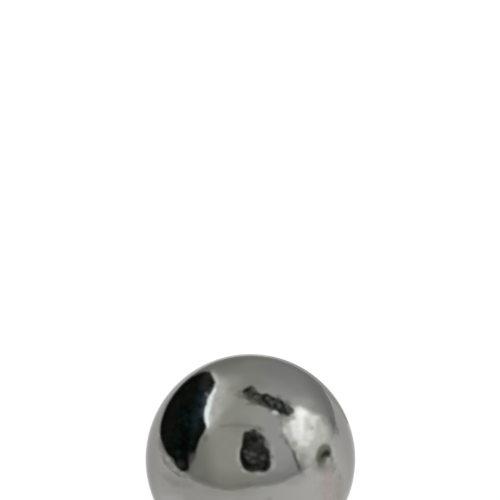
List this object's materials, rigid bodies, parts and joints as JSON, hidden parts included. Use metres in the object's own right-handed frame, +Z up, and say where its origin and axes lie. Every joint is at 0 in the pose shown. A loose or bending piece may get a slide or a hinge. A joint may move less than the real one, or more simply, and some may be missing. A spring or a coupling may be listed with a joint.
{
  "type": "steel ball",
  "caption": "Solid polished steel ball, a true sphere for bearings, valves, ball runs, desk toys and bench use.",
  "frame": {"origin": "centre of the ball", "axes": "+Z up; the ball looks the same along every axis, and -Z points at the lowest point, where it sits in its seat"},
  "size_m": [0.0254, 0.0254, 0.0254],
  "materials": {
    "polished_steel": "mirror-polished bare steel, slightly hazed, with faint lapping marks and a few fine specks"
  },
  "bodies": {
    "root": {"ball": "polished_steel"}
  },
  "joints": []
}
